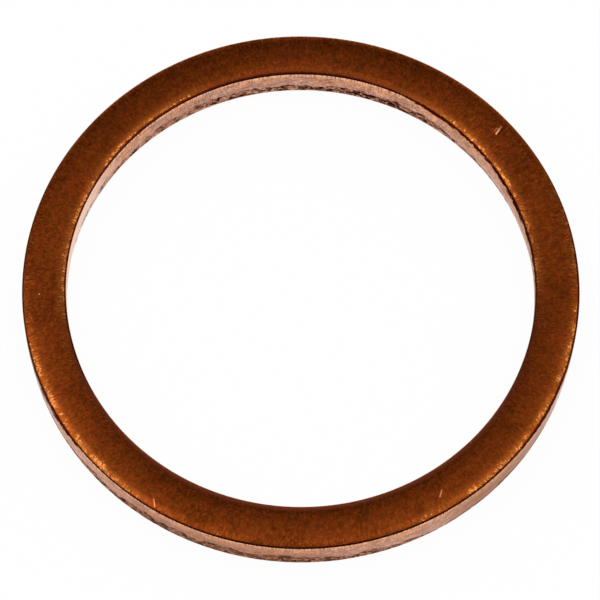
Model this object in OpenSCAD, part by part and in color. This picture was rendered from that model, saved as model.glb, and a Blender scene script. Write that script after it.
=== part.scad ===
// Flat copper sealing ring for an oil drain plug, stamped in one stroke from sheet.
// The ring lies on its torn side: Z = 0 is the underside, +Z is the ring's axis.

/* [Ring] */
// Diameter of the bore across its smooth sheared land
bore_dia = 20.2; // [8:0.1:60]
// Width of the ring from the bore land to the rim land
ring_width = 1.9; // [1:0.05:6]
// Thickness of the sheet, from the underside to the top face
thickness = 2; // [1.2:0.1:4]

/* [Rolled edge] */
// Width of the top face that the stamping drew down at each edge
roll_width = 0.4; // [0.2:0.01:0.6]
// Radius of the drawn-down edge, which leaves the face without a crease
roll_radius = 1.2; // [0.8:0.05:3]

/* [Torn band] */
// Height of the torn band above the underside
torn_height = 0.9; // [0.2:0.05:1.6]
// Distance that the rim's torn band leans back at the underside
rim_lean = 0.04; // [0.01:0.01:0.3]
// Distance that the bore's torn band leans back at the underside
bore_lean = 0.12; // [0.01:0.01:0.3]
// Radius of the tumbled edge round the underside
foot_radius = 0.06; // [0.02:0.01:0.18]

/* [Hidden] */
copper = [0.62, 0.3, 0.14];
// Steps round a full turn
turn_steps = 180;
middle_radius = (bore_dia + ring_width) / 2;
half_width = ring_width / 2;

// Half of the ring's width, from its middle out to one wall, with square corners
module half_blank(lean) {
    polygon([
        [0, 0],
        [half_width - lean, 0],
        [half_width - lean, foot_radius],
        [half_width, torn_height],
        [half_width, thickness],
        [0, thickness]
    ]);
}

// What a round of this radius leaves of a square corner
module outside_round(radius) {
    difference() {
        square(2 * radius);
        circle(radius, $fn = turn_steps);
    }
}

module half_section(lean) {
    difference() {
        half_blank(lean);
        // The rolled edge meets the land at a slant, so its round reaches past the wall
        translate([half_width - roll_width, thickness - roll_radius])
            outside_round(roll_radius);
        translate([half_width - lean - foot_radius, foot_radius])
            mirror([0, 1])
                outside_round(foot_radius);
    }
}

// The rim's edge and, mirrored, the bore's, where the sheet tore back further
module stamped_section() {
    translate([middle_radius, 0]) {
        half_section(rim_lean);
        mirror([1, 0])
            half_section(bore_lean);
    }
}

module sealing_ring() {
    color(copper)
        rotate_extrude($fn = turn_steps)
            stamped_section();
}

sealing_ring();
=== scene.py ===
import math

import bpy
from mathutils import Matrix, Vector


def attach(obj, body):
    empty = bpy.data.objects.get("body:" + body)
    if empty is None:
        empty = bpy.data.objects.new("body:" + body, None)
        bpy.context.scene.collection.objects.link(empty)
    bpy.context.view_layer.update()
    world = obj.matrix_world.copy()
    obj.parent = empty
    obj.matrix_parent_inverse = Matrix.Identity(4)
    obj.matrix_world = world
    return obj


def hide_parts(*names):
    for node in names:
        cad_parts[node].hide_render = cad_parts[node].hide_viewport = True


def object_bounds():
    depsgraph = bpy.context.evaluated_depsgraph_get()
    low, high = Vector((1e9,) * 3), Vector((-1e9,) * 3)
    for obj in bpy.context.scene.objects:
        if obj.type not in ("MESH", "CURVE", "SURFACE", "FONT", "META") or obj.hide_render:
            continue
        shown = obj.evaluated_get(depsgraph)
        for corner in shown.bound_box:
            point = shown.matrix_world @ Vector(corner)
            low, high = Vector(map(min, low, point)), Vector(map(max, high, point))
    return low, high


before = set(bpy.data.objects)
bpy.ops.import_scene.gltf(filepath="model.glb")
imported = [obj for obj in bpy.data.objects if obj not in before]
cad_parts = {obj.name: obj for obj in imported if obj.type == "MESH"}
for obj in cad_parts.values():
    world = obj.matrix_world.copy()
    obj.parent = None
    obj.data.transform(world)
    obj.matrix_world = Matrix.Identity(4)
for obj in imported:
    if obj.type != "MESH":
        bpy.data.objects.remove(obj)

cadLow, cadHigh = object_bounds()
mm = 0.001
print("frame loaded:", ", ".join(sorted(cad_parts)))

# The ring's main sizes, in millimetres
boreDiameter = 20.2
ringWidth = 1.9
thickness = 2.0
middleRadius = (boreDiameter + ringWidth) / 2


# Node helpers. A value that is a socket is linked, and anything else is set.

def feed(tree, socket, value):
    if isinstance(value, bpy.types.NodeSocket):
        tree.links.new(value, socket)
    else:
        socket.default_value = value


def addNode(tree, kind, values=None, **settings):
    made = tree.nodes.new(kind)
    for name, value in settings.items():
        setattr(made, name, value)
    for socket, value in (values or {}).items():
        feed(tree, made.inputs[socket], value)
    return made


def calc(tree, operation, *values, clamp=False):
    made = addNode(tree, "ShaderNodeMath", operation=operation, use_clamp=clamp)
    for place, value in enumerate(values):
        feed(tree, made.inputs[place], value)
    return made.outputs[0]


def vectorCalc(tree, operation, *values, scale=None, output="Vector"):
    made = addNode(tree, "ShaderNodeVectorMath", operation=operation)
    for place, value in enumerate(values):
        feed(tree, made.inputs[place], value)
    if scale is not None:
        feed(tree, made.inputs["Scale"], scale)
    return made.outputs[output]


def ramp(tree, value, low, high, toLow=0.0, toHigh=1.0, smooth=True):
    made = addNode(tree, "ShaderNodeMapRange", clamp=True)
    made.interpolation_type = "SMOOTHSTEP" if smooth else "LINEAR"
    for place, given in enumerate((value, low, high, toLow, toHigh)):
        feed(tree, made.inputs[place], given)
    return made.outputs["Result"]


def noise(tree, vector, scale=1.0, detail=2.0, roughness=0.5, seed=0.0, distortion=0.0):
    made = addNode(tree, "ShaderNodeTexNoise", {
        "Vector": vector, "W": seed, "Scale": scale, "Detail": detail,
        "Roughness": roughness, "Distortion": distortion}, noise_dimensions="4D")
    return made.outputs[0]


def splitPlace(tree, place):
    # Distance from the axis, height, and the direction that points away from the axis
    parts = addNode(tree, "ShaderNodeSeparateXYZ", {0: place}).outputs
    flat = addNode(tree, "ShaderNodeCombineXYZ", {"X": parts["X"], "Y": parts["Y"]}).outputs[0]
    radius = vectorCalc(tree, "LENGTH", flat, output="Value")
    outward = vectorCalc(tree, "NORMALIZE", flat)
    return radius, parts["Z"], outward


# Degrees by which a stretch's full part falls short of its reach, and its fade goes past it
stretchFade = 14


def stretchShare(tree, outward, onBore, stretches):
    # A stretch is a side, an azimuth and half its reach in degrees, and how strong it is
    share = 0.0
    onRim = calc(tree, "SUBTRACT", 1.0, onBore)
    for side, azimuth, reach, strength in stretches:
        around = math.radians(azimuth)
        middle = (math.cos(around), math.sin(around), 0)
        along = vectorCalc(tree, "DOT_PRODUCT", outward, middle, output="Value")
        fadeStart = math.cos(math.radians(reach - stretchFade))
        fadeEnd = math.cos(math.radians(reach + stretchFade))
        onSide = {"bore": onBore, "rim": onRim, "both": 1.0}[side]
        near = calc(tree, "MULTIPLY", ramp(tree, along, fadeEnd, fadeStart),
                    calc(tree, "MULTIPLY", onSide, strength))
        share = calc(tree, "MAXIMUM", share, near)
    return share


# Camera: the ring's middle is seen from in front and above, a little turned about the line of sight

cameraValues = {
    "elevation": 67.094,        # degrees above the horizon
    "roll": 0.545,              # degrees, clockwise in the picture
    "distance": 169.0 * mm,     # from the ring's middle
    "lens": 234.5,              # millimetres, on a sensor of the next width
    "sensorWidth": 36,
    "aimRight": -0.035 * mm,    # the picture's middle, from the ring's middle
    "aimUp": -0.282 * mm,
    "clip": (0.01, 20),         # metres
}


def makeCamera(values):
    elevation, roll = math.radians(values["elevation"]), math.radians(values["roll"])
    forward = Vector((0, math.cos(elevation), -math.sin(elevation)))
    levelRight = Vector((1, 0, 0))
    levelUp = levelRight.cross(forward)
    right = math.cos(roll) * levelRight + math.sin(roll) * levelUp
    up = math.cos(roll) * levelUp - math.sin(roll) * levelRight
    middle = Vector((0, 0, (cadLow.z + cadHigh.z) / 2))
    place = (middle - forward * values["distance"]
             + right * values["aimRight"] + up * values["aimUp"])
    data = bpy.data.cameras.new("photoCamera")
    data.lens = values["lens"]
    data.sensor_width = values["sensorWidth"]
    data.clip_start, data.clip_end = values["clip"]
    camera = bpy.data.objects.new("photoCamera", data)
    turned = Matrix((right, up, -forward)).transposed().to_4x4()
    camera.matrix_world = Matrix.Translation(place) @ turned
    bpy.context.scene.collection.objects.link(camera)
    bpy.context.scene.camera = camera


makeCamera(cameraValues)
print("camera placed")


# Material helpers. Materials work in millimetres.

def newMaterial(name):
    material = bpy.data.materials.new(name)
    material.use_nodes = True
    tree = material.node_tree
    place = addNode(tree, "ShaderNodeTexCoord").outputs["Object"]
    inMillimetres = vectorCalc(tree, "SCALE", place, scale=1 / mm)
    return material, tree, inMillimetres


def mixColour(tree, factor, first, second, blend="MIX"):
    made = addNode(tree, "ShaderNodeMix", data_type="RGBA", blend_type=blend)
    made.clamp_factor = True
    for socket, value in zip((made.inputs[0], made.inputs[6], made.inputs[7]),
                             (factor, first, second)):
        feed(tree, socket, value)
    return made.outputs[2]


def shaded(tree, colour, level):
    # The colour, made lighter or darker
    grey = addNode(tree, "ShaderNodeCombineColor", {0: level, 1: level, 2: level}).outputs[0]
    return mixColour(tree, 1.0, colour, grey, "MULTIPLY")


def centred(tree, value):
    # Noise about nought
    return calc(tree, "SUBTRACT", value, 0.5)


def radialPlace(tree, outward, distance, size, stretch):
    # A place whose pattern is fine round the ring, and long in the direction that distance measures
    around = vectorCalc(tree, "SCALE", outward, scale=middleRadius / size)
    lengthwise = calc(tree, "DIVIDE", distance, size * stretch)
    up = addNode(tree, "ShaderNodeCombineXYZ", {"Z": lengthwise}).outputs[0]
    return vectorCalc(tree, "ADD", around, up)


def specks(tree, place, spacing, size, seed):
    # Small round spots, one at most in each cell and none in more than half of them
    moved = vectorCalc(tree, "ADD", place, (seed, seed * 0.7, seed * 0.3))
    cells = addNode(tree, "ShaderNodeTexVoronoi", {"Vector": moved, "Scale": 1 / spacing}).outputs
    chance = addNode(tree, "ShaderNodeSeparateColor", {0: cells["Color"]}).outputs[0]
    wide = ramp(tree, chance, 0.55, 1.0, 0.0, size / spacing, smooth=False)
    return ramp(tree, cells["Distance"], wide, calc(tree, "MULTIPLY", wide, 0.4))


def markMask(tree, place, start, end, halfWidth):
    # A soft-edged stroke from start to end
    along = Vector((end[0] - start[0], end[1] - start[1], 0))
    away = vectorCalc(tree, "SUBTRACT", place, (start[0], start[1], 0))
    dot = vectorCalc(tree, "DOT_PRODUCT", away, along, output="Value")
    share = calc(tree, "DIVIDE", dot, along.length_squared, clamp=True)
    nearest = vectorCalc(tree, "SCALE", tuple(along), scale=share)
    gap = vectorCalc(tree, "DISTANCE", away, nearest, output="Value")
    return ramp(tree, gap, halfWidth * 1.6, halfWidth * 0.5)


def strokes(tree, place, marks):
    share = 0.0
    for start, end, halfWidth, strength in marks:
        mask = calc(tree, "MULTIPLY", markMask(tree, place, start, end, halfWidth), strength)
        share = calc(tree, "MAXIMUM", share, mask)
    return share


# Tarnished copper of the two faces and their rolled edges

tarnishValues = {
    "brown": (0.164, 0.0306, 0.0036, 1),       # most of the face
    "dark": (0.096, 0.0176, 0.0028, 1),        # cloudy patches
    "red": (0.163, 0.0278, 0.0046, 1),
    "olive": (0.140, 0.0300, 0.0034, 1),
    "shadedFarRoll": (0.106, 0.0210, 0.0050, 1),     # rolled edge at the bore: painted shade on the side far from the camera, painted highlight on the side near it
    "litNearRoll": (0.225, 0.0480, 0.0190, 1),
    "rubbedAndGlint": (0.360, 0.1150, 0.0220, 1),      # flecks on the rolled edges, where the tarnish is thin; painted brighter, as glints, where the lamps shine on them
    "bareAndGlint": (0.310, 0.1010, 0.0260, 1),        # broad flecks, almost bare, where the painted glint is brightest
    "thinAndSheen": (0.290, 0.0800, 0.0130, 1),        # thinned tarnish round the flecks, painted lighter where the lamps shine on the rolled edges
    "corner": (0.055, 0.0060, 0.0024, 1),      # dark colour of the painted shade line along the corner, and of the dark specks and stains
    "rimCornerReflection": (0.30, 0.110, 0.050, 1),        # painted reflection on the corner at the rim's far side and the bore's near side
    "boreCornerReflection": (0.220, 0.080, 0.068, 1),
    "scratch": (1.0, 0.43, 0.20, 1),
    "scratchSide": (0.70, 0.135, 0.036, 1),
    "glaze": (1.0, 0.62, 0.40, 1),             # how the face mirrors at a grazing look
    "patchSize": 1.3,
    "ruddyScale": 0.55,         # of the reddish patches, to a millimetre
    "grainSize": 0.085,
    "mottleSize": 0.15,
    "hueSize": 0.24,
    "streakSize": 0.075,        # across the radial streaks
    "streakStretch": 3.5,
    # Distances from the walls, between which each of these comes in
    "streakZone": (0.60, 0.15),     # stronger streaks
    "rollZone": (0.36, 0.14),       # the bore's rolled edge
    "thinZone": (0.60, 0.14),       # thinned tarnish, painted lighter where the lamps shine
    "innerPart": (11.35, 10.6),     # radii between which the bore's darker stretches come in
    "darkest": 0.60,            # how dark the grain may make a spot, against the face round it
    "speckSpacing": 0.42,
    "paleSpecks": (0.055, 0.55),    # size, and how strong
    "darkSpecks": (0.06, 0.12),
    "fleckSize": 0.17,
    "bareSize": 0.26,
    "streakedFlecks": 0.22,     # how much the radial streaks shape the flecks
    "fleckReach": 0.56,         # how far the flecks reach in from the rim
    "boreReachLess": 0.12,      # how much less far from the bore, and farther where they are broad
    "bareReachMore": 0.12,
    "rimLine": 0.065,           # width of the painted shade line along the corner
    "boreLine": 0.060,
    "litLineLess": 0.045,
    "lineJag": 0.16,
    "lineBlur": 0.014,
    "roughness": (0.25, 0.38),
    "bumpStrength": 0.6,
    "bumpDepth": 0.007 * mm,
    "grainDepth": 0.6,          # against the streaks' depth
    "glintDepth": 1.6,
    "scratchDepth": 1.5,
    # Stretches where the rolled edges are rubbed and carry painted glints where the lamps shine on them, and
    # where their flecks are broad, almost bare and most brightly painted
    "wornGlintStretches": (
        ("rim", 214, 17, 0.82),
        ("rim", 196, 16, 0.4),
        ("rim", 328, 34, 0.8),
        ("rim", 3, 16, 0.6),
        ("bore", 27, 27, 0.70),
        ("bore", 156, 36, 0.9),
    ),
    "bareGlintStretches": (
        ("rim", 216, 12, 0.8),
    ),
    # Stretches where the whole face is lighter, and where it or its inner part is darker
    "paleStretches": (
        ("both", 32, 22, 0.24),
        ("both", 184, 32, 0.24),
    ),
    "dimStretches": (
        ("both", 335, 32, 0.08),
        ("bore", 270, 76, 0.12),
    ),
    # Stretches where the painted shade line along the corner is broader, and by how much
    "broadLines": (
        ("rim", 340, 34, 0.025),
        ("bore", 112, 38, 0.06),
        ("bore", 180, 30, 0.03),
    ),
    # Marks on the top face: from, to and half width, and how strong
    "scratches": (
        ((8.69, 7.57), (8.62, 7.46), 0.032, 0.70),
        ((8.62, 7.46), (8.48, 7.24), 0.042, 1.0),
        ((8.53, 7.51), (8.40, 7.37), 0.030, 0.42),
        ((-6.10, -9.87), (-6.06, -10.18), 0.030, 0.46),
        ((6.01, -9.37), (5.93, -9.66), 0.030, 0.55),
        ((-11.23, -0.57), (-11.23, -0.59), 0.028, 0.70),
        ((0.25, 11.25), (0.13, 10.98), 0.018, 0.07),
    ),
    "stains": (
        ((4.87, 9.77), (4.87, 9.78), 0.045, 0.75),
        ((11.04, 3.52), (11.12, 3.60), 0.080, 0.55),
        # The next two lie along the long scratch's sides: painted shade of its groove
        ((8.61, 7.54), (8.44, 7.29), 0.028, 0.9),
        ((8.74, 7.48), (8.58, 7.20), 0.032, 0.9),
    ),
}


def facePattern(tree, place, values):
    # What the parts of the face's look are laid out by
    radius, height, outward = splitPlace(tree, place)
    fromMiddle = calc(tree, "ABSOLUTE", calc(tree, "SUBTRACT", radius, middleRadius))
    edgeGap = calc(tree, "SUBTRACT", ringWidth / 2, fromMiddle)
    nearEdge = ramp(tree, edgeGap, *values["streakZone"])
    streakPlace = radialPlace(tree, outward, radius, values["streakSize"], values["streakStretch"])
    return {
        "place": place,
        "radius": radius,
        "height": height,
        "outward": outward,
        "farther": addNode(tree, "ShaderNodeSeparateXYZ", {0: outward}).outputs["Y"],
        "onBore": calc(tree, "LESS_THAN", radius, middleRadius),
        "edgeGap": edgeGap,
        "nearEdge": nearEdge,
        "cloud": noise(tree, place, 1 / values["patchSize"], 5, 0.62, seed=3.0, distortion=0.6),
        "grain": noise(tree, place, 1 / values["grainSize"], 2, 0.6, seed=5.0),
        "streakPlace": streakPlace,
        "streak": noise(tree, streakPlace, detail=2, roughness=0.55, seed=7.0),
        "streakDepth": ramp(tree, nearEdge, 0.0, 1.0, 0.9, 1.9),
    }


def tarnishTone(tree, face, values):
    # Broad stretches, grain, mottling and radial streaks make the tarnish lighter and darker
    pale = stretchShare(tree, face["outward"], face["onBore"], values["paleStretches"])
    innerPart = ramp(tree, face["radius"], *values["innerPart"])
    dim = stretchShare(tree, face["outward"], innerPart, values["dimStretches"])
    tone = calc(tree, "SUBTRACT", calc(tree, "ADD", pale, 1.0), dim)
    tone = calc(tree, "MULTIPLY", ramp(tree, face["grain"], 0.30, 0.70, 0.80, 1.24, smooth=False), tone)
    mottle = noise(tree, face["place"], 1 / values["mottleSize"], 2, 0.6, seed=41.0)
    tone = calc(tree, "MULTIPLY", tone, ramp(tree, mottle, 0.32, 0.68, 0.77, 1.24, smooth=False))
    streaked = calc(tree, "MULTIPLY_ADD", centred(tree, face["streak"]), face["streakDepth"], 1.0)
    return calc(tree, "MAXIMUM", calc(tree, "MULTIPLY", tone, streaked), values["darkest"])


def tarnishColour(tree, face, values):
    place = face["place"]
    ruddy = noise(tree, place, values["ruddyScale"], 3, 0.55, seed=11.0)
    hue = noise(tree, place, 1 / values["hueSize"], 3, 0.6, seed=23.0)
    colour = mixColour(tree, ramp(tree, ruddy, 0.44, 0.62), values["brown"], values["red"])
    colour = mixColour(tree, ramp(tree, face["cloud"], 0.45, 0.66), colour, values["dark"])
    colour = mixColour(tree, ramp(tree, hue, 0.50, 0.62), colour, values["olive"])
    colour = mixColour(tree, ramp(tree, hue, 0.48, 0.38), colour, values["red"])
    colour = shaded(tree, colour, tarnishTone(tree, face, values))
    for kind, tint, seed in (("paleSpecks", "rubbedAndGlint", 1.3), ("darkSpecks", "corner", 5.1)):
        size, strength = values[kind]
        spots = calc(tree, "MULTIPLY", specks(tree, place, values["speckSpacing"], size, seed), strength)
        colour = mixColour(tree, spots, colour, values[tint])

    # The bore's rolled edge gets a painted highlight on the side near the camera and painted shade on the far
    # side
    rolled = calc(tree, "MULTIPLY", face["onBore"],
                  ramp(tree, face["edgeGap"], *values["rollZone"], 0.0, 0.8))
    paintedRollLight = mixColour(tree, ramp(tree, face["farther"], -0.80, -0.10),
                           values["litNearRoll"], values["shadedFarRoll"])
    return mixColour(tree, rolled, colour, paintedRollLight)


def rubbedGlintFlecks(tree, face, values, colour):
    # The tarnish is rubbed off in short radial flecks, closer together towards the walls; in the stretches
    # where the lamps shine on the rolled edges the flecks are painted brighter, as painted glints
    place, outward, onBore, edgeGap = (face[name] for name in ("place", "outward", "onBore", "edgeGap"))
    spell = noise(tree, place, 0.8, 2, 0.6, seed=43.0)
    # Share of rubbing and of painted glints, in the stretches where the lamps shine on the rolled edges
    lighterShare = calc(tree, "MULTIPLY", stretchShare(tree, outward, onBore, values["wornGlintStretches"]),
                ramp(tree, spell, 0.40, 0.54, 0.45, 1.05))
    bareAndGlint = stretchShare(tree, outward, onBore, values["bareGlintStretches"])
    fleck = noise(tree, place, 1 / values["fleckSize"], 4, 0.75, seed=17.0)
    broad = noise(tree, place, 1 / values["bareSize"], 4, 0.65, seed=53.0, distortion=0.4)
    fleck = calc(tree, "MULTIPLY_ADD", bareAndGlint, calc(tree, "SUBTRACT", broad, fleck), fleck)
    fleck = calc(tree, "ADD", calc(tree, "MULTIPLY", fleck, 1 - values["streakedFlecks"]),
                 calc(tree, "MULTIPLY", face["streak"], values["streakedFlecks"]))

    reach = calc(tree, "MULTIPLY_ADD", onBore, -values["boreReachLess"], values["fleckReach"])
    reach = calc(tree, "MULTIPLY_ADD", bareAndGlint, values["bareReachMore"], reach)
    cover = ramp(tree, edgeGap, reach, 0.10, -0.16, 0.12)
    cover = calc(tree, "ADD", cover, ramp(tree, lighterShare, 0.0, 1.0, -0.21, -0.05))
    cover = calc(tree, "MULTIPLY_ADD", bareAndGlint, 0.02, cover)
    rubbedAndGlint = ramp(tree, calc(tree, "ADD", fleck, cover), 0.505, 0.565)

    sheenThinned = calc(tree, "MULTIPLY", ramp(tree, edgeGap, *values["thinZone"], 0.0, 0.45), lighterShare)
    colour = mixColour(tree, sheenThinned, colour, values["thinAndSheen"])
    # Painted glints: the flecks' brightness varies at random
    paintedGlints = noise(tree, place, 1 / values["grainSize"], 2, 0.6, seed=37.0)
    rubbedColour = shaded(tree, mixColour(tree, bareAndGlint, values["rubbedAndGlint"], values["bareAndGlint"]),
                          ramp(tree, paintedGlints, 0.38, 0.62, 0.38, 1.62, smooth=False))
    return mixColour(tree, calc(tree, "MULTIPLY", rubbedAndGlint, 0.9), colour, rubbedColour), rubbedAndGlint


def cornerLine(tree, face, values, colour):
    # A painted shade line along the corner; where the corner faces away from the camera, along the rim's far
    # side and the bore's near side, it gives way to a lighter painted reflection
    onBore = face["onBore"]
    facing = calc(tree, "MULTIPLY", calc(tree, "MULTIPLY_ADD", onBore, -2.0, 1.0), face["farther"])
    lighterShare = ramp(tree, facing, 0.30, 0.80)
    width = calc(tree, "MULTIPLY_ADD", onBore, values["boreLine"] - values["rimLine"], values["rimLine"])
    width = calc(tree, "MULTIPLY_ADD", calc(tree, "MULTIPLY", lighterShare, onBore), -values["litLineLess"], width)
    width = calc(tree, "ADD", width, stretchShare(tree, face["outward"], onBore, values["broadLines"]))
    width = calc(tree, "MULTIPLY_ADD", centred(tree, face["streak"]), values["lineJag"], width)
    line = ramp(tree, face["edgeGap"], calc(tree, "ADD", width, values["lineBlur"]),
                calc(tree, "SUBTRACT", width, values["lineBlur"]))
    reflectionColour = mixColour(tree, onBore, values["rimCornerReflection"], values["boreCornerReflection"])
    lineColour = mixColour(tree, lighterShare, values["corner"], reflectionColour)
    return mixColour(tree, calc(tree, "MULTIPLY", line, 0.95), colour, lineColour)


def topMarks(tree, face, marks):
    onTop = calc(tree, "GREATER_THAN", face["height"], thickness / 2)
    flatPlace = vectorCalc(tree, "MULTIPLY", face["place"], (1, 1, 0))
    return calc(tree, "MULTIPLY", strokes(tree, flatPlace, marks), onTop)


def faceRoughness(tree, face, values, rubbedAndGlint):
    dull = calc(tree, "ADD", calc(tree, "MULTIPLY", face["grain"], 0.6),
                calc(tree, "MULTIPLY", face["cloud"], 0.4))
    rough = ramp(tree, dull, 0.35, 0.65, *values["roughness"], smooth=False)
    return calc(tree, "SUBTRACT", rough, calc(tree, "MULTIPLY", rubbedAndGlint, 0.08))


def faceRelief(tree, face, values, scratched):
    coarse = noise(tree, face["streakPlace"], 0.8, 2, 0.6, seed=19.0)
    glints = calc(tree, "MULTIPLY", calc(tree, "ADD", coarse, face["grain"]),
                  calc(tree, "MULTIPLY", face["nearEdge"], values["glintDepth"]))
    relief = calc(tree, "ADD", calc(tree, "MULTIPLY", face["streak"], face["streakDepth"]), glints)
    relief = calc(tree, "MULTIPLY_ADD", face["grain"], values["grainDepth"], relief)
    relief = calc(tree, "SUBTRACT", relief, calc(tree, "MULTIPLY", scratched, values["scratchDepth"]))
    return addNode(tree, "ShaderNodeBump", {
        "Strength": values["bumpStrength"], "Distance": values["bumpDepth"], "Height": relief}).outputs[0]


def tarnishedFace(values):
    material, tree, place = newMaterial("tarnishedCopperFace")
    face = facePattern(tree, place, values)
    colour = tarnishColour(tree, face, values)
    colour, rubbedAndGlint = rubbedGlintFlecks(tree, face, values, colour)
    colour = cornerLine(tree, face, values, colour)
    # Dark stains, and painted shade beside the long scratch
    colour = mixColour(tree, topMarks(tree, face, values["stains"]), colour, values["corner"])
    scratched = topMarks(tree, face, values["scratches"])
    scratchColour = mixColour(tree, scratched, values["scratchSide"], values["scratch"])
    colour = mixColour(tree, scratched, colour, scratchColour)

    shader = tree.nodes["Principled BSDF"]
    feed(tree, shader.inputs["Base Color"], colour)
    feed(tree, shader.inputs["Roughness"], faceRoughness(tree, face, values, rubbedAndGlint))
    feed(tree, shader.inputs["Normal"], faceRelief(tree, face, values, scratched))
    shader.inputs["Metallic"].default_value = 1.0
    shader.inputs["Specular Tint"].default_value = values["glaze"]
    return material


# Sheared walls: a burnished land, and below it the torn band

wallValues = {
    "land": (0.70, 0.310, 0.160, 1),
    "landLight": (0.95, 0.560, 0.370, 1),
    "landGrey": (0.54, 0.290, 0.230, 1),
    "landDark": (0.23, 0.095, 0.055, 1),
    "paintedHighlight": (1.0, 0.80, 0.73, 1),
    "dull": (0.23, 0.095, 0.055, 1),
    "smear": (0.310, 0.160, 0.130, 1),
    "torn": (0.48, 0.200, 0.120, 1),
    "tornDark": (0.120, 0.036, 0.015, 1),
    # dark red-brown of the chips, flecks and seam; on the chips and along the foot it is also painted shade
    "recess": (0.055, 0.0085, 0.0028, 1),
    # dark of the painted shade that runs down the upper wall
    "cover": (0.080, 0.0150, 0.0060, 1),
    "landGloss": (1.0, 0.80, 0.68, 1),         # how each part mirrors at a grazing look
    "dullGloss": (0.86, 0.600, 0.470, 1),
    "recessGloss": (0.75, 0.50, 0.46, 1),
    "coverGloss": (0.26, 0.130, 0.095, 1),
    "striation": 0.065,         # across the upright striations
    "striationStretch": 9.0,
    "smearLength": 0.80,
    "smearHeight": 0.16,
    "stainSpacing": 0.9,
    "stainSize": 0.16,
    "tickZone": (1.60, 1.82),   # heights between which the painted highlight ticks under the rolled edge come in
    "dullZone": (1.60, 1.05),
    "greyZone": (1.7, 0.9),
    # height of the painted shadow line along the foot
    "footHeight": 0.07,
    "coverTop": 2.05,           # height of the painted shade's lower edge, and how far down a stretch brings it
    "coverDrop": 0.70,
    "coverStreaks": 0.3,
    "coverRagged": 2.2,
    "coverBlur": 0.07,
    "roughLand": 0.30,
    "roughTorn": 0.55,
    "bumpStrength": 0.7,
    "bumpDepth": 0.010 * mm,
    "crumbDepth": 2.0,          # against the striations' depth
    # Stretches where painted shade runs over the corner and down the wall
    "shadeStretches": (
        ("rim", 194, 19, 1.0),
        ("rim", 346, 20, 0.7),
        ("bore", 8, 24, 0.8),
        ("bore", 42, 16, 0.5),
    ),
    # Stretches where the wall has a painted highlight, and where it is duller
    "highlightStretches": (
        ("bore", 176, 22, 0.80),
        ("rim", 340, 8, 0.45),
    ),
    "dullStretches": (
        ("rim", 319, 7, 0.70),
        ("rim", 254, 17, 0.50),
    ),
    # Stretches where the torn band is darker, with more flecks
    "darkStretches": (
        ("rim", 263, 22, 0.06),
        ("bore", 80, 22, 0.06),
    ),
}


def wallPattern(tree, place, values):
    # What the parts of the wall's look are laid out by
    radius, height, outward = splitPlace(tree, place)
    linePlace = radialPlace(tree, outward, height, values["striation"], values["striationStretch"])
    chip = addNode(tree, "ShaderNodeAttribute", attribute_name="chip").outputs["Fac"]
    return {
        "place": place,
        "height": height,
        "outward": outward,
        "onBore": calc(tree, "LESS_THAN", radius, middleRadius),
        "chipped": ramp(tree, chip, 0.08, 0.45),
        "torn": addNode(tree, "ShaderNodeAttribute", attribute_name="torn").outputs["Fac"],
        "lines": noise(tree, linePlace, detail=3, roughness=0.6, seed=2.0),
        "blotch": noise(tree, place, 3.2, 4, 0.7, seed=21.0),
        "crumbs": noise(tree, vectorCalc(tree, "MULTIPLY", place, (1, 1, 1.8)), 5.5, 3, 0.65, seed=4.0),
    }


def landColour(tree, wall, values):
    # Bare metal with striations, blotches, and smears that run along the wall
    place, blotch = wall["place"], wall["blotch"]
    tint = noise(tree, place, 0.8, 3, 0.6, seed=13.0)
    tint = calc(tree, "ADD", tint, ramp(tree, wall["height"], *values["greyZone"], -0.10, 0.14))
    patches = noise(tree, place, 1.1, 4, 0.65, seed=9.0)
    smearPlace = radialPlace(tree, wall["outward"], wall["height"], values["smearLength"],
                             values["smearHeight"] / values["smearLength"])
    smears = noise(tree, smearPlace, detail=3, roughness=0.6, seed=27.0)
    stainPlace = vectorCalc(tree, "MULTIPLY", place, (1, 1, 2))
    stains = specks(tree, stainPlace, values["stainSpacing"], values["stainSize"], 2.4)
    colour = values["land"]
    for share, name in (
            (ramp(tree, tint, 0.42, 0.60), "landGrey"),
            (ramp(tree, wall["lines"], 0.46, 0.76, 0.0, 0.7), "landDark"),
            (ramp(tree, patches, 0.50, 0.68, 0.0, 0.55), "landDark"),
            (ramp(tree, blotch, 0.50, 0.64, 0.0, 0.65), "smear"),
            (ramp(tree, blotch, 0.48, 0.36, 0.0, 0.45), "landLight"),
            (ramp(tree, smears, 0.52, 0.64, 0.0, 0.8), "smear"),
            (calc(tree, "MULTIPLY", stains, 0.75), "tornDark")):
        colour = mixColour(tree, share, colour, values[name])
    return colour


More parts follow.
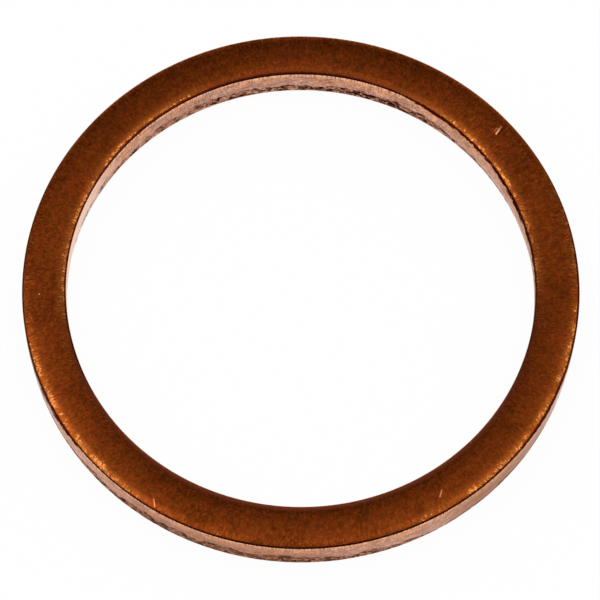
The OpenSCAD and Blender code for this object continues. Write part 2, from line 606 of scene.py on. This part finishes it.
def tornColour(tree, wall, values, colour):
    # The torn band has chips, darkened by dirt and by painted shade in them, dark flecks, light flecks that
    # are painted highlights, and a broken dark seam along its upper edge
    torn = wall["torn"]
    crumbled = mixColour(tree, ramp(tree, wall["crumbs"], 0.42, 0.60), values["torn"], values["tornDark"])
    colour = mixColour(tree, calc(tree, "MULTIPLY", torn, 0.9), colour, crumbled)
    # Painted shade in the chips, with their dirt
    colour = mixColour(tree, wall["chipped"], colour, values["recess"])
    fleckPlace = vectorCalc(tree, "MULTIPLY", wall["place"], (1, 1, 1.5))
    fleck = noise(tree, fleckPlace, 3.0, 3, 0.7, seed=31.0, distortion=0.8)
    # Light flecks: painted highlights
    lit = calc(tree, "MULTIPLY", ramp(tree, fleck, 0.47, 0.40), calc(tree, "MULTIPLY", torn, 0.6))
    colour = mixColour(tree, lit, colour, values["landLight"])
    darker = stretchShare(tree, wall["outward"], wall["onBore"], values["darkStretches"])
    flecked = calc(tree, "MULTIPLY", ramp(tree, calc(tree, "ADD", fleck, darker), 0.55, 0.60),
                   calc(tree, "MULTIPLY", torn, 0.85))
    broken = noise(tree, wall["place"], 2.2, 2, 0.6, seed=45.0)
    seam = calc(tree, "MULTIPLY", ramp(tree, torn, 0.15, 0.40), ramp(tree, torn, 0.95, 0.70))
    seam = calc(tree, "MULTIPLY", seam, ramp(tree, broken, 0.46, 0.54, 0.0, 0.9))
    flecked = calc(tree, "MAXIMUM", flecked, seam)
    colour = mixColour(tree, flecked, colour, values["recess"])
    return colour, calc(tree, "MAXIMUM", flecked, wall["chipped"])


def edgeMarks(tree, wall, values, colour):
    # Painted highlight ticks and dark notches where the land meets the rolled edge, and a painted shadow line
    # along the foot where the ring meets the floor
    lines = wall["lines"]
    topmost = ramp(tree, wall["height"], *values["tickZone"])
    highlightTicks = calc(tree, "MULTIPLY", topmost, ramp(tree, lines, 0.56, 0.44))
    colour = mixColour(tree, calc(tree, "MULTIPLY", highlightTicks, 0.9), colour, values["landLight"])
    notches = calc(tree, "MULTIPLY", topmost, ramp(tree, lines, 0.52, 0.62))
    colour = mixColour(tree, calc(tree, "MULTIPLY", notches, 0.6), colour, values["landDark"])
    # Painted shadow along the foot, where the ring meets the floor
    foot = ramp(tree, wall["height"], values["footHeight"], values["footHeight"] * 0.4)
    return mixColour(tree, calc(tree, "MULTIPLY", foot, 0.85), colour, values["recess"])


def shadeOnWall(tree, wall, values):
    # Painted shade over the upper wall, reaching lower in the shade stretches
    share = stretchShare(tree, wall["outward"], wall["onBore"], values["shadeStretches"])
    edge = calc(tree, "MULTIPLY_ADD", share, -values["coverDrop"], values["coverTop"])
    edge = calc(tree, "MULTIPLY_ADD", centred(tree, wall["lines"]), values["coverStreaks"], edge)
    ragged = calc(tree, "MULTIPLY", centred(tree, wall["blotch"]), share)
    edge = calc(tree, "MULTIPLY_ADD", ragged, values["coverRagged"], edge)
    return ramp(tree, wall["height"], calc(tree, "SUBTRACT", edge, values["coverBlur"]),
                calc(tree, "ADD", edge, values["coverBlur"]))


def shearedWall(values):
    material, tree, place = newMaterial("shearedCopperWall")
    wall = wallPattern(tree, place, values)
    height, outward, onBore = wall["height"], wall["outward"], wall["onBore"]
    colour, sunk = tornColour(tree, wall, values, landColour(tree, wall, values))
    mottle = noise(tree, place, 13.0, 2, 0.6, seed=35.0)
    colour = shaded(tree, colour, ramp(tree, mottle, 0.34, 0.66, 0.55, 1.45, smooth=False))
    colour = edgeMarks(tree, wall, values, colour)
    whole = calc(tree, "SUBTRACT", 1.0, calc(tree, "MULTIPLY", sunk, 0.8))
    # Painted highlight on the wall where it is seen most obliquely
    highlighted = calc(tree, "MULTIPLY", stretchShare(tree, outward, onBore, values["highlightStretches"]), whole)
    duller = calc(tree, "MULTIPLY", stretchShare(tree, outward, onBore, values["dullStretches"]),
                  ramp(tree, height, *values["dullZone"], 0.35, 1.0))
    shadeCovered = shadeOnWall(tree, wall, values)
    gloss = mixColour(tree, sunk, values["landGloss"], values["recessGloss"])
    colour = mixColour(tree, highlighted, colour, values["paintedHighlight"])
    colour = mixColour(tree, duller, colour, values["dull"])
    gloss = mixColour(tree, duller, gloss, values["dullGloss"])
    # Painted shade over the upper wall, which mirrors little there too
    colour = mixColour(tree, shadeCovered, colour, values["cover"])
    gloss = mixColour(tree, shadeCovered, gloss, values["coverGloss"])

    rough = ramp(tree, wall["torn"], 0.0, 1.0, values["roughLand"], values["roughTorn"])
    crumbs = calc(tree, "MULTIPLY", wall["crumbs"],
                  calc(tree, "MULTIPLY", wall["torn"], values["crumbDepth"]))
    bump = addNode(tree, "ShaderNodeBump", {
        "Strength": values["bumpStrength"], "Distance": values["bumpDepth"],
        "Height": calc(tree, "ADD", wall["lines"], crumbs)})
    shader = tree.nodes["Principled BSDF"]
    feed(tree, shader.inputs["Base Color"], colour)
    feed(tree, shader.inputs["Specular Tint"], gloss)
    feed(tree, shader.inputs["Roughness"], rough)
    feed(tree, shader.inputs["Normal"], bump.outputs[0])
    shader.inputs["Metallic"].default_value = 1.0
    return material


facesMaterial = tarnishedFace(tarnishValues)
wallsMaterial = shearedWall(wallValues)
print("materials made")


# The ring: its section is drawn from arcs and lines, swept round the axis, then torn and striated

ringValues = {
    "Bore Diameter": boreDiameter * mm,
    "Ring Width": ringWidth * mm,
    "Thickness": thickness * mm,
    "Crest Width": 0.3 * mm,         # what is left quite flat of the top face
    "Crown Width": 0.4 * mm,
    "Crown Radius": 4.2 * mm,
    "Roll Radius": 1.4 * mm,
    "Corner Radius": 0.08 * mm,
    "Torn Height": 0.9 * mm,
    "Rim Lean": 0.04 * mm,
    "Bore Lean": 0.12 * mm,
    "Foot Radius": 0.06 * mm,
    "Ragged Reach": 0.3 * mm,       # how far the tearing runs up above the torn band
    "Chip Length": 0.26 * mm,
    "Chip Height": 0.26 * mm,
    "Chip Depth": 0.08 * mm,
    "Crumble Depth": 0.030 * mm,
    "Striation Width": 0.16 * mm,
    "Striation Depth": 0.005 * mm,
    "Corner Jag": 0.022 * mm,
    "Steps Round": 1296,
    "Seed": 4,
    "Face Material": facesMaterial,
    "Wall Material": wallsMaterial,
}
socketKinds = {int: "NodeSocketInt", float: "NodeSocketFloat", bpy.types.Material: "NodeSocketMaterial"}

# Stretches where the walls tore little
calmStretches = (
    ("rim", 318, 30, 1.0),
    ("rim", 200, 22, 0.8),
    ("bore", 20, 26, 1.0),
)
# How far the torn band's upper edge wanders, and how much lower it lies there, in millimetres
tornWander = 1.6
calmDrop = 0.6


def newTree(name, inputs):
    tree = bpy.data.node_groups.new(name, "GeometryNodeTree")
    for title, value in inputs.items():
        made = tree.interface.new_socket(title, in_out="INPUT", socket_type=socketKinds[type(value)])
        if not isinstance(value, bpy.types.Material):
            made.default_value = value
    tree.interface.new_socket("Geometry", in_out="OUTPUT", socket_type="NodeSocketGeometry")
    given = addNode(tree, "NodeGroupInput").outputs
    return tree, given


def lineCurve(tree, start, end, spans):
    # A straight stretch of the section, from (x, y) to (x, y), cut into spans
    ends = [addNode(tree, "ShaderNodeCombineXYZ", {"X": x, "Y": y}).outputs[0] for x, y in (start, end)]
    line = addNode(tree, "GeometryNodeCurvePrimitiveLine", {"Start": ends[0], "End": ends[1]})
    cut = addNode(tree, "GeometryNodeResampleCurve", {"Curve": line.outputs[0], "Count": spans + 1})
    return cut.outputs[0]


def arcCurve(tree, centre, radius, fromTilt, toTilt, spans):
    # Tilts are those of the surface: 0 for the flat top, a quarter turn for the upright wall
    arc = addNode(tree, "GeometryNodeCurveArc", {
        "Resolution": spans + 1,
        "Radius": radius,
        "Start Angle": calc(tree, "SUBTRACT", math.pi / 2, toTilt),
        "Sweep Angle": calc(tree, "SUBTRACT", toTilt, fromTilt)}, mode="RADIUS")
    move = addNode(tree, "ShaderNodeCombineXYZ", {"X": centre[0], "Y": centre[1]}).outputs[0]
    return addNode(tree, "GeometryNodeTransform", {
        "Geometry": arc.outputs[0], "Translation": move}).outputs[0]


def joined(tree, pieces):
    join = addNode(tree, "GeometryNodeJoinGeometry")
    for piece in reversed(pieces):
        tree.links.new(piece, join.inputs[0])
    return join.outputs[0]


edgeInputs = ("Ring Width", "Thickness", "Crest Width", "Crown Width", "Crown Radius", "Roll Radius",
              "Corner Radius", "Torn Height", "Foot Radius", "Ragged Reach")


def makeEdgeTree():
    # One stamped edge of the section, from the flat of the top face to the underside
    inputs = {name: ringValues[name] for name in (*edgeInputs, "Rim Lean")}
    inputs["Lean"] = inputs.pop("Rim Lean")
    tree, given = newTree("stampedEdge", inputs)
    half = calc(tree, "MULTIPLY", given["Ring Width"], 0.5)
    top = given["Thickness"]
    crest = calc(tree, "MULTIPLY", given["Crest Width"], 0.5)
    crownCentre = (crest, calc(tree, "SUBTRACT", top, given["Crown Radius"]))
    crownTilt = calc(tree, "ARCSINE", calc(tree, "DIVIDE", given["Crown Width"], given["Crown Radius"]))
    apart = calc(tree, "SUBTRACT", given["Crown Radius"], given["Roll Radius"])
    rollCentre = (calc(tree, "MULTIPLY_ADD", apart, calc(tree, "SINE", crownTilt), crownCentre[0]),
                  calc(tree, "MULTIPLY_ADD", apart, calc(tree, "COSINE", crownTilt), crownCentre[1]))
    cornerX = calc(tree, "SUBTRACT", half, given["Corner Radius"])
    inner = calc(tree, "SUBTRACT", given["Roll Radius"], given["Corner Radius"])
    rollSpan = calc(tree, "SUBTRACT", cornerX, rollCentre[0])
    rollTilt = calc(tree, "ARCSINE", calc(tree, "DIVIDE", rollSpan, inner))
    cornerHeight = calc(tree, "MULTIPLY_ADD", inner, calc(tree, "COSINE", rollTilt), rollCentre[1])
    raggedTop = calc(tree, "ADD", given["Torn Height"], given["Ragged Reach"])
    foot = calc(tree, "SUBTRACT", half, given["Lean"])
    footCentre = (calc(tree, "SUBTRACT", foot, given["Foot Radius"]), given["Foot Radius"])
    pieces = [
        lineCurve(tree, (0.0, top), (crest, top), 1),
        arcCurve(tree, crownCentre, given["Crown Radius"], 0.0, crownTilt, 4),
        arcCurve(tree, rollCentre, given["Roll Radius"], crownTilt, rollTilt, 8),
        arcCurve(tree, (cornerX, cornerHeight), given["Corner Radius"], rollTilt, math.pi / 2, 3),
        lineCurve(tree, (half, cornerHeight), (half, raggedTop), 3),
        lineCurve(tree, (half, raggedTop), (half, given["Torn Height"]), 4),
        lineCurve(tree, (half, given["Torn Height"]), (foot, given["Foot Radius"]), 10),
        arcCurve(tree, footCentre, given["Foot Radius"], math.pi / 2, math.pi, 2),
        lineCurve(tree, (footCentre[0], 0.0), (0.0, 0.0), 3),
    ]
    feed(tree, addNode(tree, "NodeGroupOutput").inputs[0], joined(tree, pieces))
    return tree


def closedSection(tree, given):
    # The rim's edge and, mirrored, the bore's become one closed curve, with its corners kept
    edgeTree = makeEdgeTree()
    halves = []
    for lean, mirrored in (("Rim Lean", 1), ("Bore Lean", -1)):
        edge = addNode(tree, "GeometryNodeGroup", node_tree=edgeTree)
        for name in edgeInputs:
            feed(tree, edge.inputs[name], given[name])
        feed(tree, edge.inputs["Lean"], given[lean])
        halves.append(addNode(tree, "GeometryNodeTransform", {
            "Geometry": edge.outputs[0], "Scale": (mirrored, 1, 1)}).outputs[0])
    wire = addNode(tree, "GeometryNodeCurveToMesh", {"Curve": joined(tree, halves)}).outputs[0]
    wire = addNode(tree, "GeometryNodeMergeByDistance", {"Geometry": wire, "Distance": 0.002 * mm}).outputs[0]
    section = addNode(tree, "GeometryNodeMeshToCurve", {"Mesh": wire}).outputs[0]
    return addNode(tree, "GeometryNodeTransform", {"Geometry": section, "Scale": (1, -1, 1)}).outputs[0]


def sweptRing(tree, given, section, middle):
    path = addNode(tree, "GeometryNodeCurvePrimitiveCircle", {
        "Resolution": given["Steps Round"], "Radius": middle}).outputs[0]
    upright = addNode(tree, "GeometryNodeSetCurveNormal", {"Curve": path}, mode="Z_UP").outputs[0]
    return addNode(tree, "GeometryNodeCurveToMesh", {"Curve": upright, "Profile Curve": section}).outputs[0]


def tornPattern(tree, ring):
    # The torn band's upper edge wanders, and chips are missing below it
    place, height, seed, size = (ring[name] for name in ("place", "height", "seed", "size"))
    wander = noise(tree, place, 0.9, 3, 0.6, seed=calc(tree, "ADD", seed, 1.0))
    tornTop = calc(tree, "MULTIPLY_ADD", centred(tree, wander), tornWander, size["Torn Height"])
    calm = stretchShare(tree, ring["outward"], calc(tree, "LESS_THAN", ring["side"], 0.0), calmStretches)
    tornTop = calc(tree, "MULTIPLY_ADD", calm, -calmDrop, tornTop)
    torn = ramp(tree, height, calc(tree, "ADD", tornTop, 0.08), calc(tree, "SUBTRACT", tornTop, 0.12))

    stretch = calc(tree, "DIVIDE", size["Chip Length"], size["Chip Height"])
    tall = addNode(tree, "ShaderNodeCombineXYZ", {"X": 1.0, "Y": 1.0, "Z": stretch}).outputs[0]
    chipPlace = vectorCalc(tree, "MULTIPLY", place, tall)
    chipNoise = noise(tree, chipPlace, calc(tree, "DIVIDE", 1.0, size["Chip Length"]), 2, 0.55, seed=seed)
    spell = noise(tree, place, 0.32, 1, 0.5, seed=calc(tree, "ADD", seed, 2.0))
    low = ramp(tree, height, calc(tree, "ADD", tornTop, 0.02), calc(tree, "SUBTRACT", tornTop, 0.14))
    low = calc(tree, "MULTIPLY", low, ramp(tree, height, 0.04, 0.20, 0.35, 1.0))
    need = ramp(tree, spell, 0.38, 0.58, 0.60, 0.49)
    chip = calc(tree, "MULTIPLY", low, ramp(tree, chipNoise, need, calc(tree, "ADD", need, 0.09)))
    return torn, chip


def wallPush(tree, ring, torn, chip, lines):
    # How far the chips, crumbs and striations lie back from the wall's true surface
    place, height, offMiddle, size = (ring[name] for name in ("place", "height", "offMiddle", "size"))
    crumble = noise(tree, place, 7.0, 2, 0.6, seed=calc(tree, "ADD", ring["seed"], 3.0))
    depth = calc(tree, "MULTIPLY", chip, size["Chip Depth"])
    crumbled = calc(tree, "MULTIPLY", calc(tree, "MULTIPLY", crumble, torn), size["Crumble Depth"])
    striated = calc(tree, "MULTIPLY", lines, size["Striation Depth"])
    depth = calc(tree, "ADD", calc(tree, "ADD", depth, crumbled), striated)
    depth = calc(tree, "MULTIPLY", depth, ramp(tree, height, 0.02, 0.40, 0.25, 1.0))

    # The wall is where the section lies near its two sides, below the corner
    halfWidth = calc(tree, "MULTIPLY", size["Ring Width"], 0.5)
    onWall = ramp(tree, offMiddle, calc(tree, "SUBTRACT", halfWidth, 0.19),
                  calc(tree, "SUBTRACT", halfWidth, 0.165))
    onWall = calc(tree, "MULTIPLY", onWall, ramp(tree, ring["cornerFall"], 0.05, 0.10))
    depth = calc(tree, "MULTIPLY", calc(tree, "MULTIPLY", depth, onWall), mm)
    back = calc(tree, "MULTIPLY", depth, calc(tree, "MULTIPLY", ring["side"], -1.0))
    return vectorCalc(tree, "SCALE", ring["outward"], scale=back)


def cornerDrop(tree, ring, given, lines):
    # The corner under the rolled edge is finely jagged by the same striations
    nearCorner = calc(tree, "MULTIPLY", ramp(tree, ring["cornerFall"], 0.06, 0.13),
                      ramp(tree, ring["cornerFall"], 0.5, 0.14))
    jag = calc(tree, "MULTIPLY", centred(tree, lines), calc(tree, "MULTIPLY", nearCorner, 2.0))
    drop = calc(tree, "MULTIPLY", jag, given["Corner Jag"])
    return addNode(tree, "ShaderNodeCombineXYZ", {"Z": drop}).outputs[0]


def stored(tree, geometry, name, value, domain="POINT"):
    return addNode(tree, "GeometryNodeStoreNamedAttribute", {
        "Geometry": geometry, "Name": name, "Value": value}, data_type="FLOAT", domain=domain).outputs[0]


def makeRingTree():
    tree, given = newTree("stampedRing", ringValues)
    middle = calc(tree, "MULTIPLY", calc(tree, "ADD", given["Bore Diameter"], given["Ring Width"]), 0.5)
    shown = sweptRing(tree, given, closedSection(tree, given), middle)

    # Patterns are laid out in millimetres
    place = vectorCalc(tree, "SCALE", addNode(tree, "GeometryNodeInputPosition").outputs[0], scale=1 / mm)
    radius, height, outward = splitPlace(tree, place)
    size = {name: calc(tree, "DIVIDE", given[name], mm) for name, value in ringValues.items()
            if isinstance(value, float)}
    fromMiddle = calc(tree, "SUBTRACT", radius, calc(tree, "DIVIDE", middle, mm))
    ring = {
        "place": place,
        "height": height,
        "outward": outward,
        "side": calc(tree, "SIGN", fromMiddle),
        "offMiddle": calc(tree, "ABSOLUTE", fromMiddle),
        "cornerFall": calc(tree, "SUBTRACT", size["Thickness"], height),
        "size": size,
        "seed": given["Seed"],
    }
    torn, chip = tornPattern(tree, ring)
    linesRound = calc(tree, "DIVIDE", middle, given["Striation Width"])
    linePlace = vectorCalc(tree, "SCALE", outward, scale=linesRound)
    lines = noise(tree, linePlace, detail=2, roughness=0.6, seed=calc(tree, "ADD", given["Seed"], 5.0))
    moved = vectorCalc(tree, "ADD", wallPush(tree, ring, torn, chip, lines),
                       cornerDrop(tree, ring, given, lines))

    # Walls are picked before they are moved: every face between the rolled edge's corner and the foot
    normal = addNode(tree, "GeometryNodeInputNormal").outputs[0]
    normalZ = addNode(tree, "ShaderNodeSeparateXYZ", {0: normal}).outputs["Z"]
    steep = calc(tree, "LESS_THAN", calc(tree, "ABSOLUTE", normalZ), 0.5)
    shown = stored(tree, shown, "chip", chip)
    shown = stored(tree, shown, "torn", torn)
    shown = stored(tree, shown, "wall", steep, domain="FACE")
    shown = addNode(tree, "GeometryNodeSetPosition", {"Geometry": shown, "Offset": moved}).outputs[0]
    angle = addNode(tree, "GeometryNodeInputMeshEdgeAngle").outputs["Unsigned Angle"]
    crisp = calc(tree, "GREATER_THAN", angle, math.radians(30))
    shown = addNode(tree, "GeometryNodeSetShadeSmooth", {
        "Geometry": shown, "Selection": crisp, "Shade Smooth": False}, domain="EDGE").outputs[0]
    shown = addNode(tree, "GeometryNodeRealizeInstances", {"Geometry": shown}).outputs[0]
    shown = addNode(tree, "GeometryNodeSetMaterial", {
        "Geometry": shown, "Material": given["Face Material"]}).outputs[0]
    isWall = addNode(tree, "GeometryNodeInputNamedAttribute", {"Name": "wall"}, data_type="FLOAT").outputs[0]
    shown = addNode(tree, "GeometryNodeSetMaterial", {
        "Geometry": shown, "Selection": isWall, "Material": given["Wall Material"]}).outputs[0]
    feed(tree, addNode(tree, "NodeGroupOutput").inputs[0], shown)
    return tree


def makeRing():
    tree = makeRingTree()
    holder = bpy.data.objects.new("ringHolder", bpy.data.meshes.new("ringHolder"))
    bpy.context.scene.collection.objects.link(holder)
    modifier = holder.modifiers.new("stampedRing", "NODES")
    modifier.node_group = tree
    for item in tree.interface.items_tree:
        if item.in_out == "INPUT" and item.name in ringValues:
            modifier[item.identifier] = ringValues[item.name]
    evaluated = holder.evaluated_get(bpy.context.evaluated_depsgraph_get())
    mesh = bpy.data.meshes.new_from_object(evaluated)
    holder.modifiers.remove(modifier)
    bpy.data.objects.remove(holder)
    mesh.name = "copperRing"
    ring = bpy.data.objects.new("copperRing", mesh)
    bpy.context.scene.collection.objects.link(ring)
    return ring


ring = makeRing()
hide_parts("sealing_ring")
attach(ring, "root")
print("ring made:", len(ring.data.polygons), "faces")


# Pale floor and soft light. The floor is seen as white, and still takes the ring's shadow.

studioValues = {
    "floorSize": 3.0,                  # metres
    "floorDrop": 0.02 * mm,            # keeps the floor clear of the ring's underside
    "floorColour": (0.95, 0.95, 0.95, 1),
    "seenWhite": 0.96,                 # share of plain white where the floor is seen or mirrored
    "skyMiddle": 0.20,                 # light from half way up, and from straight above
    "skyTop": 1.06,
    "skyRise": (0.885, 0.955),         # heights between which the sky brightens
    "backdropLevel": 0.90,             # pale backdrop that stands round the ring, and where it ends above
    "backdropEnd": (0.74, 0.42),
    "frontShade": 0.30,                # the backdrop is open and darker towards the camera
    "frontTurn": (-0.1, -0.6),
    "frontEnd": (0.85, 0.65),
    "boxSize": (0.24, 0.24),
    "boxDistance": 0.36,
    "boxes": {"leftBox": (183, 60, 0.46), "rightBox": (6, 60, 0.34)},    # azimuth, elevation and watts
}


def seenRays(tree):
    rays = addNode(tree, "ShaderNodeLightPath").outputs
    seen = calc(tree, "MAXIMUM", rays["Is Camera Ray"], rays["Is Glossy Ray"])
    return calc(tree, "MAXIMUM", seen, rays["Is Transmission Ray"])


def floorMaterial(values):
    material = bpy.data.materials.new("paleFloor")
    material.use_nodes = True
    tree = material.node_tree
    tree.nodes.remove(tree.nodes["Principled BSDF"])
    matt = addNode(tree, "ShaderNodeBsdfDiffuse", {"Color": values["floorColour"]}).outputs[0]
    white = addNode(tree, "ShaderNodeEmission", {"Strength": 1.0}).outputs[0]
    share = calc(tree, "MULTIPLY", seenRays(tree), values["seenWhite"])
    mixed = addNode(tree, "ShaderNodeMixShader", {0: share, 1: matt, 2: white}).outputs[0]
    # The floor is clear from below, so that the underside can be looked at
    below = addNode(tree, "ShaderNodeNewGeometry").outputs["Backfacing"]
    clear = addNode(tree, "ShaderNodeBsdfTransparent").outputs[0]
    mixed = addNode(tree, "ShaderNodeMixShader", {0: below, 1: mixed, 2: clear}).outputs[0]
    feed(tree, tree.nodes["Material Output"].inputs["Surface"], mixed)
    return material


def makeFloor(values):
    reach, level = values["floorSize"] / 2, -values["floorDrop"]
    corners = [(x * reach, y * reach, level) for x, y in ((-1, -1), (1, -1), (1, 1), (-1, 1))]
    mesh = bpy.data.meshes.new("floor")
    mesh.from_pydata(corners, [], [(0, 1, 2, 3)])
    mesh.materials.append(floorMaterial(values))
    floor = bpy.data.objects.new("floor", mesh)
    bpy.context.scene.collection.objects.link(floor)


def makeSky(values):
    world = bpy.data.worlds.new("softStudio")
    bpy.context.scene.world = world
    world.use_nodes = True
    tree = world.node_tree
    direction = addNode(tree, "ShaderNodeTexCoord").outputs["Generated"]
    toward = addNode(tree, "ShaderNodeSeparateXYZ", {0: direction}).outputs
    ahead, up = toward["Y"], toward["Z"]
    level = ramp(tree, up, *values["skyRise"], values["skyMiddle"], values["skyTop"])
    backdrop = ramp(tree, up, *values["backdropEnd"])
    level = calc(tree, "MULTIPLY_ADD", backdrop, values["backdropLevel"] - values["skyMiddle"], level)
    front = calc(tree, "MULTIPLY", ramp(tree, ahead, *values["frontTurn"]),
                 ramp(tree, up, *values["frontEnd"]))
    level = calc(tree, "MULTIPLY", level, calc(tree, "MULTIPLY_ADD", front, values["frontShade"] - 1, 1.0))
    camera = addNode(tree, "ShaderNodeLightPath").outputs["Is Camera Ray"]
    background = tree.nodes["Background"]
    feed(tree, background.inputs["Strength"], calc(tree, "MAXIMUM", level, camera))
    background.inputs["Color"].default_value = (1, 1, 1, 1)


def makeBoxes(values):
    for name, (azimuth, elevation, power) in values["boxes"].items():
        data = bpy.data.lights.new(name, "AREA")
        data.shape = "RECTANGLE"
        data.size, data.size_y = values["boxSize"]
        data.energy = power
        light = bpy.data.objects.new(name, data)
        around, above = math.radians(azimuth), math.radians(elevation)
        level = math.cos(above)
        toward = Vector((math.cos(around) * level, math.sin(around) * level, math.sin(above)))
        light.location = toward * values["boxDistance"]
        light.rotation_mode = "QUATERNION"
        light.rotation_quaternion = toward.to_track_quat("Z", "Y")
        bpy.context.scene.collection.objects.link(light)


makeFloor(studioValues)
makeSky(studioValues)
makeBoxes(studioValues)
bpy.context.scene.view_settings.view_transform = "Standard"
print("floor and lights made")
